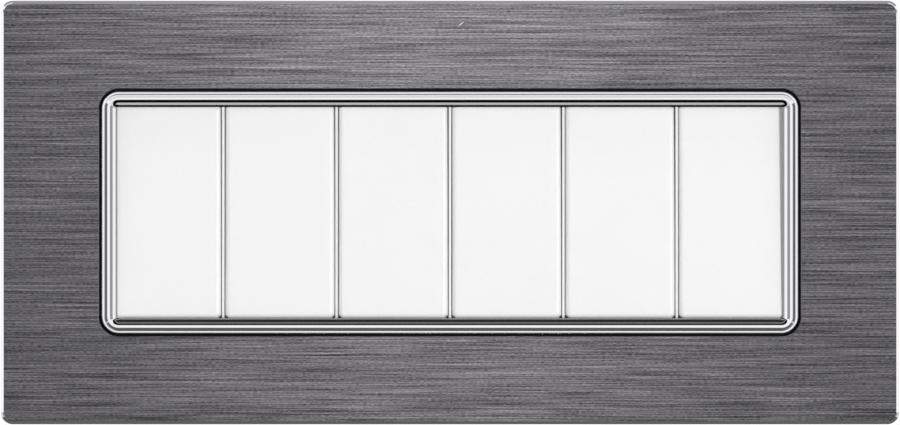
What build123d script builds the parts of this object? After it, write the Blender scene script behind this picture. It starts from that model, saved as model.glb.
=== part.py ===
from build123d import *

import os
from math import cos, pi, radians, sin, sqrt, tan

# Six-gang rocker switch plate for a flush wall box, in millimetres.
# X runs to the right along the row of switches, Z is up, and -Y faces the room.
# The wall is the plane y = 0, and the origin is midway between the two box screws.
# A level is a distance in front of the wall, so it is negative inside the wall box.

# Row of switch modules
MODULE_COUNT = 6
MODULE_PITCH = 22.5
MODULE_HEIGHT = 45.0

# Cover plate: brushed sheet on a moulded carrier
SIDE_BORDER = 21.6
END_BORDER = 19.5
PLATE_CORNER_RADIUS = 2.4
SHEET_THICKNESS = 1.6
SHEET_BEVEL = 0.62
CARRIER_INSET = 0.3
CARRIER_SKIN = 1.6
CARRIER_WALL = 1.8
CARRIER_FLANGE = 1.2
CARRIER_FLANGE_GAP = 0.4
WINDOW_CLEARANCE = 0.3
PRY_NOTCH_WIDTH = 12.0
PRY_NOTCH_DEPTH = 1.6

# Hooks that hold the carrier on the support frame
HOOK_COUNT = 3
HOOK_WIDTH = 9.0
HOOK_THICKNESS = 1.2
HOOK_BARB = 0.8
HOOK_BARB_HEIGHT = 0.7
HOOK_CLEARANCE = 0.2

# Chrome bezel ring
RING_WIDTH = 3.1
RING_OVERLAP = 1.6
RING_CORNER_RADIUS = 3.4
RING_GAP = 0.6
RING_LEG = 1.0
RING_LEG_HEIGHT = 1.75
RING_LIP_EDGE = 0.45
RING_CROWN_HEIGHT = 1.45
RING_SLOPE_SPAN = 1.45
RING_SLOPE_ANGLE = 27.0
RING_BEAD_WIDTH = 0.72
RING_BEAD_HEIGHT = 0.25
RING_BEAD_SLOPE = 0.16
RING_BEAD_DROP = 0.95
RING_SHOULDER = 0.45
RING_SHOULDER_ANGLE = 41.0
RING_TAB_COUNT = 4
RING_TAB_WIDTH = 6.0
RING_TAB_THICKNESS = 0.6
RING_TAB_REACH = 0.9
RING_TAB_BARB = 0.35
RING_TAB_CLEARANCE = 0.15

# Support frame, screwed to the wall box
FRAME_THICKNESS = 1.8
FRAME_SIDE_BORDER = 16.5
FRAME_END_BORDER = 14.5
FRAME_CORNER_RADIUS = 3.0
FRAME_RIB = 1.2
FRAME_RIB_HEIGHT = 1.6
FRAME_RIB_COUNT = 4
FRAME_CLEARANCE = 0.2
FRAME_REBATE = 1.0
BOX_SCREW_OFFSET = 8.5
BOX_SCREW_SLOT_WIDTH = 4.2
BOX_SCREW_SLOT_LENGTH = 8.0

# Switch housing
FIN_THICKNESS = 0.25
HOUSING_END_WALL = 0.7
HOUSING_WALL = 1.05
HOUSING_FLOOR = 0.8
HOUSING_BODY_GAP = 0.1
FLANGE_OVERHANG = 2.9
RIM_CLEARANCE = 1.1
PARTING_DEPTH = 9.0
CLIP_WIDTH = 8.0
CLIP_REACH = 0.9
CLIP_LENGTH = 3.0
CLIP_CLEARANCE = 0.15
CORNER_WALL = 0.5

# Rocker key
ROCK_ANGLE = 2.2
PIVOT_DEPTH = 6.0
KEY_SIDE_CLEARANCE = 0.15
KEY_END_CLEARANCE = 0.27
KEY_FLOOR_CLEARANCE = 0.35
KEY_LIP_CLEARANCE = 0.22
KEY_CAP_DEPTH = 2.9
KEY_FACE_THICKNESS = 1.4
KEY_SKIRT = 1.2
KEY_EDGE_RADIUS = 1.0
KEY_CORNER_CLEARANCE = 0.31
CHEEK_THICKNESS = 1.2
CHEEK_CLEARANCE = 0.3
CHEEK_ROOT_WIDTH = 9.0
CHEEK_TIP_WIDTH = 4.4
CHEEK_BELOW_PIVOT = 1.8
TRUNNION_RADIUS = 1.1
TRUNNION_ENGAGEMENT = 0.5
TRUNNION_END_GAP = 0.1
RUNNING_CLEARANCE = 0.05
STEM_SIZE = 6.0
STEM_CROWN = 1.6

# Spring plunger in the key's stem
PLUNGER_SIZE = 3.6
PLUNGER_NOSE_WIDTH = 0.8
PLUNGER_PROTRUSION = 3.2
PLUNGER_NOSE_LENGTH = 1.6
PLUNGER_SEAT = 3.0
PLUNGER_CLEARANCE = 0.1
PLUNGER_LEVER_GAP = 0.3
SPRING_RADIUS = 1.2
SPRING_WIRE = 0.5
SPRING_TURNS = 3
SPRING_RUNS_PER_TURN = 6

# See-saw contact lever
LEVER_ANGLE = 8.0
LEVER_ARM = 6.6
LEVER_TIP = 1.4
LEVER_WIDTH = 5.0
LEVER_THICKNESS = 0.8
LEVER_PIVOT_RADIUS = 1.0
LEVER_AXIS_DEPTH = 1.4
LEVER_END_CLEARANCE = 1.8
CONTACT_SIZE = 2.2
CONTACT_HEIGHT = 0.6
FIXED_CONTACT_HEIGHT = 0.4
CLOSED_GAP = 0.15

# Terminals
STRIP_THICKNESS = 0.8
STRIP_WIDTH = 5.0
SADDLE_WIDTH = 4.0
SADDLE_LENGTH = 2.8
SADDLE_DROP = 0.4
TERMINAL_DEPTH = 7.6
TERMINAL_CLEARANCE = 0.2
WIRE_CHANNEL = 3.2

# Push-in wire clamps, one leaf at each terminal
CLAMP_SPACE = 3.2
CLAMP_THICKNESS = 0.4
CLAMP_WIDTH = 4.4
CLAMP_ROOF = 1.4
CLAMP_FOOT_GAP = 0.6
CLAMP_TIP_LEVEL = 2.6
CLAMP_TIP_GAP = 0.15
CLAMP_DROP = 0.4

# Switch base
BASE_REAR_WALL = 1.8
BASE_SIDE_WALL = 3.2
BASE_CHAMFER = 0.8
WIRE_ENTRY_WIDTH = 3.0
RELEASE_SLOT_WIDTH = 2.6
RELEASE_SLOT_HEIGHT = 1.5

# Sizes worked out from the values above
row_width = MODULE_COUNT * MODULE_PITCH
plate_width = row_width + 2 * SIDE_BORDER
plate_height = MODULE_HEIGHT + 2 * END_BORDER
body_width = MODULE_PITCH - 2 * HOUSING_BODY_GAP
body_height = MODULE_HEIGHT - 2 * FLANGE_OVERHANG
box_screw_x = row_width / 2 + BOX_SCREW_OFFSET

pivot_shift = PIVOT_DEPTH * sin(radians(ROCK_ANGLE))
key_width = MODULE_PITCH - 2 * (FIN_THICKNESS + KEY_SIDE_CLEARANCE)
key_height = MODULE_HEIGHT - 2 * (HOUSING_END_WALL + KEY_END_CLEARANCE + pivot_shift)
key_swing = key_height / 2 * sin(radians(ROCK_ANGLE))

# Levels, from the wall towards the room
floor_level = FRAME_THICKNESS + HOUSING_FLOOR
key_level = floor_level + KEY_FLOOR_CLEARANCE + KEY_CAP_DEPTH + key_swing
lip_level = key_level + key_swing + KEY_LIP_CLEARANCE
rim_level = lip_level - RIM_CLEARANCE
carrier_level = lip_level - RING_LEG_HEIGHT
sheet_level = carrier_level + SHEET_THICKNESS
crown_level = lip_level + RING_CROWN_HEIGHT
pivot_level = key_level - PIVOT_DEPTH

# Levels, from the wall into the box
parting_level = -PARTING_DEPTH
lever_level = parting_level - LEVER_AXIS_DEPTH
lever_swing = sin(radians(LEVER_ANGLE)) * (LEVER_ARM + CONTACT_SIZE / 2)
contact_drop = lever_swing + CONTACT_HEIGHT * cos(radians(LEVER_ANGLE))
strip_level = lever_level - contact_drop - CLOSED_GAP - FIXED_CONTACT_HEIGHT
chamber_level = strip_level - STRIP_THICKNESS
terminal_back = strip_level - TERMINAL_DEPTH
base_back = terminal_back - BASE_REAR_WALL
plunger_tip = lever_level + LEVER_THICKNESS + PLUNGER_LEVER_GAP
stem_end = plunger_tip + PLUNGER_PROTRUSION
plunger_top = stem_end + PLUNGER_SEAT
bore_top = key_level - KEY_FACE_THICKNESS - STEM_CROWN

# Distances from the middle of a module along Z
lever_half = LEVER_ARM + LEVER_TIP
terminal_inner = lever_half + LEVER_END_CLEARANCE
channel_start = terminal_inner + STRIP_THICKNESS
channel_end = channel_start + WIRE_CHANNEL
pocket_end = channel_end + CLAMP_SPACE

# Corners cut off the rim, its cavity and the key, clear of the bezel's rounded corners
rim_corner = (RING_CORNER_RADIUS - RING_WIDTH + RING_OVERLAP) / 2
cavity_corner = rim_corner - HOUSING_END_WALL - FIN_THICKNESS + CORNER_WALL * sqrt(2)
key_corner = cavity_corner + KEY_CORNER_CLEARANCE * sqrt(2) - KEY_SIDE_CLEARANCE - KEY_END_CLEARANCE

# Distances from the middle of a module along X
wall_inner = body_width / 2 - HOUSING_WALL
cheek_outer = wall_inner - CHEEK_CLEARANCE
trunnion_end = wall_inner + TRUNNION_ENGAGEMENT


def facing(level):
    """Plane parallel to the wall at a level, with its normal towards the room."""
    return Plane.XZ.offset(level)


def slab(width, height, back, front, radius=0.0, x=0.0, z=0.0):
    """Block parallel to the wall, centred at x and z, between two levels."""
    outline = RectangleRounded(width, height, radius) if radius else Rectangle(width, height)
    return extrude(facing(back) * Pos(x, z) * outline, front - back)


def cut_slab(width, height, back, front, corner):
    """Block parallel to the wall with its four corners cut off, between two levels."""
    outline = Rectangle(width, height)
    outline = chamfer(outline.vertices(), corner)
    return extrude(facing(back) * outline, front - back)


def bar(x0, x1, z0, z1, back, front):
    """Block between two values of X, of Z and of level."""
    return slab(x1 - x0, z1 - z0, back, front, x=(x0 + x1) / 2, z=(z0 + z1) / 2)


def prism(width, points, x=0.0):
    """Side profile of (z, level) points, extruded along X and centred at x."""
    profile = Polyline(*[(0, -level, z) for z, level in points], close=True)
    return Pos(x - width / 2, 0, 0) * extrude(make_face(profile), width, dir=(1, 0, 0))


def rod(radius, x0, x1, z, level):
    """Cylinder along X between x0 and x1."""
    return Pos((x0 + x1) / 2, -level, z) * Rot(0, 90, 0) * Cylinder(radius, x1 - x0)


def both_ends(shape):
    """A shape and its mirror image below the row's middle line."""
    return shape + mirror(shape, about=Plane.XY)


def both_sides(shape):
    """A shape and its mirror image on the module's other side."""
    return shape + mirror(shape, about=Plane.YZ)


def centred(count, spacing):
    """Places of a row of features, evenly spaced about zero."""
    return [(index - (count - 1) / 2) * spacing for index in range(count)]


# Cover plate

ring_outer_width = row_width + 2 * (RING_WIDTH - RING_OVERLAP)
ring_outer_height = MODULE_HEIGHT + 2 * (RING_WIDTH - RING_OVERLAP)
frame_width = row_width + 2 * FRAME_SIDE_BORDER
frame_height = MODULE_HEIGHT + 2 * FRAME_END_BORDER
window_width = row_width + 2 * WINDOW_CLEARANCE
window_height = MODULE_HEIGHT + 2 * WINDOW_CLEARANCE
skin_back = carrier_level - CARRIER_SKIN
ledge_middle = (MODULE_HEIGHT / 2 + WINDOW_CLEARANCE + ring_outer_height / 2) / 2


def make_cover_sheet():
    """Brushed sheet with a polished bevel round its outer edge."""
    sheet = slab(plate_width, plate_height, carrier_level, sheet_level, PLATE_CORNER_RADIUS)
    sheet = chamfer(sheet.faces().sort_by(Axis.Y)[0].edges(), SHEET_BEVEL)
    opening_radius = RING_CORNER_RADIUS + RING_GAP
    opening_width = ring_outer_width + 2 * RING_GAP
    opening_height = ring_outer_height + 2 * RING_GAP
    return sheet - slab(opening_width, opening_height, carrier_level, sheet_level, opening_radius)


def make_hook():
    """Snap hook of the carrier, which reaches round the frame's upper edge."""
    inner = frame_height / 2 + HOOK_CLEARANCE
    outer = inner + HOOK_THICKNESS
    barb_back = (FRAME_REBATE - HOOK_BARB_HEIGHT) / 2
    barb_front = barb_back + HOOK_BARB_HEIGHT
    profile = [
        (outer, skin_back),
        (inner, skin_back),
        (inner, barb_front),
        (inner - HOOK_BARB, barb_front),
        (inner, barb_back),
        (outer, barb_back),
    ]
    return prism(HOOK_WIDTH, profile)


def make_plate_carrier():
    """Moulded tray behind the sheet: the bezel's seat and slots, two stiff flanges and the snap hooks."""
    width = plate_width - 2 * CARRIER_INSET
    height = plate_height - 2 * CARRIER_INSET
    radius = PLATE_CORNER_RADIUS - CARRIER_INSET
    tray = slab(width, height, 0, carrier_level, radius)
    tray -= slab(width - 2 * CARRIER_WALL, height - 2 * CARRIER_WALL, 0, skin_back)

    flange_end = (row_width - MODULE_PITCH) / 2
    flange_inner = ring_outer_height / 2 + CARRIER_FLANGE_GAP
    flange_outer = flange_inner + CARRIER_FLANGE
    flange_back = FRAME_THICKNESS + CARRIER_FLANGE_GAP
    tray += both_ends(bar(-flange_end, flange_end, flange_inner, flange_outer, flange_back, skin_back))
    tray -= slab(window_width, window_height, skin_back, carrier_level)

    slot_width = RING_TAB_WIDTH + 2 * RING_TAB_CLEARANCE
    slot_height = RING_TAB_THICKNESS + 2 * RING_TAB_CLEARANCE
    for x in centred(RING_TAB_COUNT, row_width / RING_TAB_COUNT):
        tray -= both_ends(slab(slot_width, slot_height, skin_back, carrier_level, x=x, z=ledge_middle))
    for x in centred(HOOK_COUNT, row_width / HOOK_COUNT):
        tray += both_ends(Pos(x, 0, 0) * make_hook())
    notch_top = -height / 2 + CARRIER_WALL
    return tray - bar(-PRY_NOTCH_WIDTH / 2, PRY_NOTCH_WIDTH / 2, -height / 2, notch_top, 0, PRY_NOTCH_DEPTH)


def ring_profile(plane):
    """Section of the bezel: seat, outer bead, groove, shoulder, crown and the ogee down to the lip over the keys."""
    groove_level = crown_level - RING_BEAD_DROP
    bead_level = groove_level + RING_BEAD_HEIGHT
    bead_inner = RING_BEAD_WIDTH - RING_BEAD_SLOPE
    shoulder_level = crown_level - RING_SHOULDER * tan(radians(RING_SHOULDER_ANGLE))
    crown_start = RING_BEAD_WIDTH + RING_SHOULDER
    crown_end = RING_WIDTH - RING_SLOPE_SPAN
    lip_front = lip_level + RING_LIP_EDGE
    downhill = (cos(radians(RING_SLOPE_ANGLE)), -sin(radians(RING_SLOPE_ANGLE)))

    def at(inward, level):
        return (inward, level - carrier_level)

    ogee_middle = at((crown_end + RING_WIDTH) / 2, (crown_level + lip_front) / 2)
    round_half = TangentArc(at(crown_end, crown_level), ogee_middle, tangent=downhill)
    hollow_half = TangentArc(ogee_middle, at(RING_WIDTH, lip_front), tangent=round_half % 1)
    outline = [
        Line(at(0, carrier_level), at(0, groove_level)),
        Line(at(0, groove_level), at(RING_BEAD_SLOPE, bead_level)),
        Line(at(RING_BEAD_SLOPE, bead_level), at(bead_inner, bead_level)),
        Line(at(bead_inner, bead_level), at(RING_BEAD_WIDTH, groove_level)),
        Line(at(RING_BEAD_WIDTH, groove_level), at(RING_BEAD_WIDTH, shoulder_level)),
        Line(at(RING_BEAD_WIDTH, shoulder_level), at(crown_start, crown_level)),
        Line(at(crown_start, crown_level), at(crown_end, crown_level)),
        round_half,
        hollow_half,
        Line(at(RING_WIDTH, lip_front), at(RING_WIDTH, lip_level)),
        Line(at(RING_WIDTH, lip_level), at(RING_LEG, lip_level)),
        Line(at(RING_LEG, lip_level), at(RING_LEG, carrier_level)),
        Line(at(RING_LEG, carrier_level), at(0, carrier_level)),
    ]
    return plane * make_face(outline)


def make_ring_tab():
    """Snap tab of the bezel, which passes through the carrier's skin."""
    inner = ledge_middle - RING_TAB_THICKNESS / 2
    outer = ledge_middle + RING_TAB_THICKNESS / 2
    barb_front = skin_back - RING_TAB_CLEARANCE
    profile = [
        (inner, carrier_level),
        (outer, carrier_level),
        (outer, barb_front),
        (outer + RING_TAB_BARB, barb_front),
        (outer, barb_front - RING_TAB_REACH),
        (inner, barb_front - RING_TAB_REACH),
    ]
    return prism(RING_TAB_WIDTH, profile)


def make_bezel_ring():
    """Chrome ring swept round the window, with its snap tabs."""
    loop = facing(carrier_level) * RectangleRounded(ring_outer_width, ring_outer_height, RING_CORNER_RADIUS)
    path = loop.wire()
    start = path @ 0
    to_room = Vector(0, -1, 0)
    inward = (path % 0).cross(to_room)
    if inward.dot(Vector(0, -carrier_level, 0) - start) < 0:
        inward = -inward
    section = ring_profile(Plane(start, x_dir=inward, z_dir=inward.cross(to_room)))
    ring = sweep(section, path)
    for x in centred(RING_TAB_COUNT, row_width / RING_TAB_COUNT):
        ring += both_ends(Pos(x, 0, 0) * make_ring_tab())
    return ring


# Support frame


def make_support_frame():
    """Ribbed frame that carries the modules and takes the two box screws."""
    frame = slab(frame_width, frame_height, 0, FRAME_THICKNESS, FRAME_CORNER_RADIUS)
    rib_front = FRAME_THICKNESS + FRAME_RIB_HEIGHT
    rim = slab(frame_width, frame_height, FRAME_THICKNESS, rib_front, FRAME_CORNER_RADIUS)
    rim -= slab(frame_width - 2 * FRAME_RIB, frame_height - 2 * FRAME_RIB, FRAME_THICKNESS, rib_front)
    frame += rim

    rib_inner = ring_outer_height / 2 + 2 * CARRIER_FLANGE_GAP + CARRIER_FLANGE
    rib_outer = frame_height / 2 - FRAME_RIB
    for x in centred(FRAME_RIB_COUNT, row_width / (FRAME_RIB_COUNT - 1)):
        rib = bar(x - FRAME_RIB / 2, x + FRAME_RIB / 2, rib_inner, rib_outer, FRAME_THICKNESS, rib_front)
        frame += both_ends(rib)

    window_w = row_width + 2 * FRAME_CLEARANCE
    window_h = body_height + 2 * FRAME_CLEARANCE
    frame -= slab(window_w, window_h, 0, FRAME_THICKNESS)

    slot = facing(0) * Pos(box_screw_x, 0) * SlotOverall(BOX_SCREW_SLOT_LENGTH, BOX_SCREW_SLOT_WIDTH)
    frame -= both_sides(extrude(slot, FRAME_THICKNESS))

    rebate_width = HOOK_WIDTH + 2 * HOOK_CLEARANCE
    rebate_inner = frame_height / 2 - HOOK_BARB - HOOK_CLEARANCE
    for x in centred(HOOK_COUNT, row_width / HOOK_COUNT):
        left, right = x - rebate_width / 2, x + rebate_width / 2
        frame -= both_ends(bar(left, right, rebate_inner, frame_height / 2, 0, FRAME_REBATE))
    return frame


# Switch module, built about x = 0 with the key and the lever level


def make_key():
    """Rocker key: filleted cap, two cheeks with half-round trunnions and the plunger's stem."""
    cap_back = key_level - KEY_CAP_DEPTH
    cap = cut_slab(key_width, key_height, cap_back, key_level, key_corner)
    cap = fillet(cap.faces().sort_by(Axis.Y)[0].edges(), KEY_EDGE_RADIUS)
    face_back = key_level - KEY_FACE_THICKNESS
    cap -= slab(key_width - 2 * KEY_SKIRT, key_height - 2 * KEY_SKIRT, cap_back, face_back)

    cheek_tip = pivot_level - CHEEK_BELOW_PIVOT
    cheek_profile = [
        (-CHEEK_ROOT_WIDTH / 2, face_back),
        (CHEEK_ROOT_WIDTH / 2, face_back),
        (CHEEK_TIP_WIDTH / 2, cheek_tip),
        (-CHEEK_TIP_WIDTH / 2, cheek_tip),
    ]
    cheek = prism(CHEEK_THICKNESS, cheek_profile, x=cheek_outer - CHEEK_THICKNESS / 2)
    trunnion = rod(TRUNNION_RADIUS, cheek_outer, trunnion_end, 0, pivot_level)
    trunnion -= bar(cheek_outer, trunnion_end, -TRUNNION_RADIUS, TRUNNION_RADIUS, pivot_level, floor_level)
    stem = slab(STEM_SIZE, STEM_SIZE, stem_end, face_back)
    bore_size = PLUNGER_SIZE + 2 * PLUNGER_CLEARANCE
    stem -= slab(bore_size, bore_size, stem_end, bore_top)
    return cap + both_sides(cheek + trunnion) + stem


def make_plunger():
    """Square plunger with a wedge nose, which presses on the contact lever."""
    half = PLUNGER_SIZE / 2
    nose = PLUNGER_NOSE_WIDTH / 2
    shoulder = plunger_tip + PLUNGER_NOSE_LENGTH
    profile = [
        (-half, plunger_top),
        (half, plunger_top),
        (half, shoulder),
        (nose, plunger_tip),
        (-nose, plunger_tip),
        (-half, shoulder),
    ]
    return prism(PLUNGER_SIZE, profile)


def make_spring():
    """Coil of square wire in short runs, from the plunger to the end of the stem's bore."""
    bottom = plunger_top + SPRING_WIRE
    rise = bore_top - SPRING_WIRE - bottom
    runs = SPRING_TURNS * SPRING_RUNS_PER_TURN
    points = []
    for index in range(runs + 1):
        turn = 2 * pi * index / SPRING_RUNS_PER_TURN
        level = bottom + rise * index / runs
        points.append((SPRING_RADIUS * cos(turn), -level, SPRING_RADIUS * sin(turn)))
    coil = Polyline(*points)
    section = Plane(coil @ 0, x_dir=(1, 0, 0), z_dir=coil % 0) * Rectangle(SPRING_WIRE, SPRING_WIRE)
    return sweep(section, coil, transition=Transition.RIGHT)


def make_contact_lever():
    """See-saw strip with a rolled pivot and the moving contact at its upper end."""
    strip = slab(LEVER_WIDTH, 2 * lever_half, lever_level, lever_level + LEVER_THICKNESS)
    pivot = rod(LEVER_PIVOT_RADIUS, -LEVER_WIDTH / 2, LEVER_WIDTH / 2, 0, lever_level)
    pivot -= slab(LEVER_WIDTH, 2 * lever_half, lever_level, lever_level + LEVER_PIVOT_RADIUS)
    contact_back = lever_level - CONTACT_HEIGHT
    return strip + pivot + slab(CONTACT_SIZE, CONTACT_SIZE, contact_back, lever_level, z=LEVER_ARM)


def make_upright(inner, outer):
    """Bent end of a terminal strip, which the wire is clamped against."""
    half = STRIP_WIDTH / 2
    return bar(-half, half, inner, outer, terminal_back, strip_level)


def make_load_terminal():
    """Upper terminal: fixed contact, strip and upright."""
    contact_z = LEVER_ARM * cos(radians(LEVER_ANGLE))
    strip_end = contact_z - CONTACT_SIZE / 2
    half = STRIP_WIDTH / 2
    strip = bar(-half, half, strip_end, terminal_inner, chamber_level, strip_level)
    contact_front = strip_level + FIXED_CONTACT_HEIGHT
    contact = slab(CONTACT_SIZE, CONTACT_SIZE, strip_level, contact_front, z=contact_z)
    return make_upright(terminal_inner, channel_start) + strip + contact


def make_common_terminal():
    """Lower terminal: notched saddle under the lever's pivot, strip and upright."""
    half = STRIP_WIDTH / 2
    strip = bar(-half, half, -terminal_inner, SADDLE_LENGTH / 2, chamber_level, strip_level)
    saddle_front = lever_level - SADDLE_DROP
    notch_level = lever_level - (LEVER_PIVOT_RADIUS + RUNNING_CLEARANCE) * sqrt(2)
    notch_half = saddle_front - notch_level
    saddle_profile = [
        (-SADDLE_LENGTH / 2, strip_level),
        (SADDLE_LENGTH / 2, strip_level),
        (SADDLE_LENGTH / 2, saddle_front),
        (notch_half, saddle_front),
        (0, notch_level),
        (-notch_half, saddle_front),
        (-SADDLE_LENGTH / 2, saddle_front),
    ]
    saddle = prism(SADDLE_WIDTH, saddle_profile)
    return make_upright(-channel_start, -terminal_inner) + strip + saddle


def make_clamp_spring():
    """Bent leaf of the upper terminal: foot on the pocket's end, roof and slanting tongue."""
    foot_level = terminal_back + CLAMP_FOOT_GAP
    roof_level = strip_level - CLAMP_DROP
    tip_level = terminal_back + CLAMP_TIP_LEVEL
    tip = channel_start + CLAMP_TIP_GAP
    bend = pocket_end - CLAMP_ROOF
    profile = [
        (pocket_end, foot_level),
        (pocket_end, roof_level),
        (bend, roof_level),
        (tip, tip_level),
        (tip + CLAMP_THICKNESS, tip_level),
        (bend + CLAMP_THICKNESS / 2, roof_level - CLAMP_THICKNESS),
        (pocket_end - CLAMP_THICKNESS, roof_level - CLAMP_THICKNESS),
        (pocket_end - CLAMP_THICKNESS, foot_level),
    ]
    return prism(CLAMP_WIDTH, profile)


def make_housing():
    """White front body: rim and fins round the key, trunnion pockets and frame clips."""
    rim = cut_slab(MODULE_PITCH, MODULE_HEIGHT, FRAME_THICKNESS, rim_level, rim_corner)
    body = slab(body_width, body_height, parting_level, FRAME_THICKNESS)
    cavity_width = MODULE_PITCH - 2 * FIN_THICKNESS
    cavity_height = MODULE_HEIGHT - 2 * HOUSING_END_WALL
    housing = rim + body
    housing -= cut_slab(cavity_width, cavity_height, floor_level, rim_level, cavity_corner)
    bore_height = body_height - 2 * HOUSING_WALL
    housing -= slab(2 * wall_inner, bore_height, parting_level, floor_level)
    seat_radius = TRUNNION_RADIUS + RUNNING_CLEARANCE
    seat_end = trunnion_end + TRUNNION_END_GAP
    housing -= rod(seat_radius, -seat_end, seat_end, 0, pivot_level)
    housing -= bar(-seat_end, seat_end, -seat_radius, seat_radius, pivot_level, floor_level)

    foot = body_height / 2
    clip_profile = [
        (foot, -CLIP_CLEARANCE),
        (foot + CLIP_REACH, -CLIP_CLEARANCE),
        (foot, -CLIP_CLEARANCE - CLIP_LENGTH),
    ]
    return housing + both_ends(prism(CLIP_WIDTH, clip_profile))


def make_base():
    """Rear half of the module, with the lever chamber, terminal pockets and wire entries."""
    base = slab(body_width, body_height, base_back, parting_level)
    base = chamfer(base.faces().sort_by(Axis.Y)[-1].edges(), BASE_CHAMFER)
    base -= slab(body_width - 2 * BASE_SIDE_WALL, 2 * terminal_inner, chamber_level, parting_level)

    half = STRIP_WIDTH / 2 + TERMINAL_CLEARANCE
    pocket = bar(-half, half, terminal_inner - TERMINAL_CLEARANCE, pocket_end, terminal_back, parting_level)
    entry_middle = (channel_start + channel_end) / 2
    entry = slab(WIRE_ENTRY_WIDTH, WIRE_CHANNEL, base_back, terminal_back, z=entry_middle)
    slot_middle = (channel_end + pocket_end) / 2
    slot = slab(RELEASE_SLOT_WIDTH, RELEASE_SLOT_HEIGHT, base_back, terminal_back, z=slot_middle)
    return base - both_ends(pocket + entry + slot)


def rocked(shape, angle, level):
    """A piece of the rest pose, turned about a module's hinge line at a level."""
    return shape.rotate(Axis((0, -level, 0), (1, 0, 0)), angle)


def make_module():
    """All pieces of one module by name, with the key's upper half pressed in."""
    return {
        "key": rocked(make_key(), -ROCK_ANGLE, pivot_level),
        "plunger": rocked(make_plunger(), -ROCK_ANGLE, pivot_level),
        "spring": rocked(make_spring(), -ROCK_ANGLE, pivot_level),
        "contact_lever": rocked(make_contact_lever(), LEVER_ANGLE, lever_level),
        "load_terminal": make_load_terminal(),
        "common_terminal": make_common_terminal(),
        "housing": make_housing(),
        "base": make_base(),
    }


def build():
    """All nodes of the assembly by name."""
    nodes = {
        "cover_sheet": make_cover_sheet(),
        "plate_carrier": make_plate_carrier(),
        "bezel_ring": make_bezel_ring(),
        "support_frame": make_support_frame(),
    }
    module = make_module()
    clamp_pair = [make_clamp_spring(), mirror(make_clamp_spring(), about=Plane.XY)]
    clamps = []
    for number, x in enumerate(centred(MODULE_COUNT, MODULE_PITCH), start=1):
        place = Pos(x, 0, 0)
        for name, piece in module.items():
            nodes[f"{name}_{number}"] = place * piece
        clamps += [place * clamp for clamp in clamp_pair]
    nodes["clamp_springs"] = Compound(children=clamps)
    return nodes


os.makedirs("parts", exist_ok=True)
for node, shape in build().items():
    export_step(shape, f"parts/{node}.step")
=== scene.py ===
"""Looks of a six-gang rocker switch plate: brushed sheet, chrome bezel, white keys and their modules."""

import logging
import math
from collections.abc import Sequence
from dataclasses import dataclass
from enum import Enum

import bmesh
import bpy
from bmesh.types import BMEdge, BMesh, BMVert
from mathutils import Matrix, Vector


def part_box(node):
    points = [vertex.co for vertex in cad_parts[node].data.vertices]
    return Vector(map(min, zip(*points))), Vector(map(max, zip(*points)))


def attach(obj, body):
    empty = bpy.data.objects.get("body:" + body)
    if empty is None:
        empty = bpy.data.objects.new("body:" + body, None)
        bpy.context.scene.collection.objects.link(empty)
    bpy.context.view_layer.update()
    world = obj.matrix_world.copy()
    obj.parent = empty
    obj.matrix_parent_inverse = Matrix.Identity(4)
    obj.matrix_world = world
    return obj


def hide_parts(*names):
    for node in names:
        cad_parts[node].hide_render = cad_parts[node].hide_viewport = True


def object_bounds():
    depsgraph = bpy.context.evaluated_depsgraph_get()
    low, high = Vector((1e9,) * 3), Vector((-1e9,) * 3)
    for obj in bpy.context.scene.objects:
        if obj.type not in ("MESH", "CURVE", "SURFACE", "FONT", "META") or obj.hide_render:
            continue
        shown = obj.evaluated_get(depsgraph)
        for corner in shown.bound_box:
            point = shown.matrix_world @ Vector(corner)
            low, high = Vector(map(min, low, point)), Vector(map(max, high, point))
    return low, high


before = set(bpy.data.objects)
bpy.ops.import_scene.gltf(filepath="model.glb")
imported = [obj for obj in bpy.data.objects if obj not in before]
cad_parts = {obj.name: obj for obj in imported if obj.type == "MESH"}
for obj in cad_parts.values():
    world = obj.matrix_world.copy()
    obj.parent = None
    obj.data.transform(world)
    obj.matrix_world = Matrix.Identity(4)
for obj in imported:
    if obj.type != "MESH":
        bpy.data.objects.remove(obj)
CAD_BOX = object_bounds()

Colour = tuple[float, float, float]
Point = tuple[float, float, float]
Pair = tuple[float, float]

# Lengths in metres, and an area in square metres
MM = 0.001
NEAR = 0.01 * MM
MERGE_DISTANCE = 0.001 * MM
SAME_AREA = 1e-6

# Finer layers of a fine grain, and samples for the rounding of an edge
FINE_DETAIL = 3.0
EDGE_SAMPLES = 4

# Distances of the cards from the middle of the plate, and length of the upright ones, in metres
CARD_ABOVE = 0.2
CARD_BELOW = -0.15
CARD_BESIDE = 0.3
UPRIGHT_LENGTH = 0.24

QUARTER_TURN = math.pi / 2
MODULE_COUNT = 6
IMAGE_WIDTH = 900
log = logging.getLogger("switch_plate")


class Slot(Enum):
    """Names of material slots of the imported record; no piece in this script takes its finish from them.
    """

    SHEET = "brushed_sheet"
    CHROME = "chrome_trim"
    STEEL = "spring_steel"


class Sight(Enum):
    """Which surfaces a stage object or a lamp shows on."""

    ALL = "all"
    MATT_ONLY = "matt only"
    MIRRORS_ONLY = "mirrors only"


# Material graphs


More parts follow.
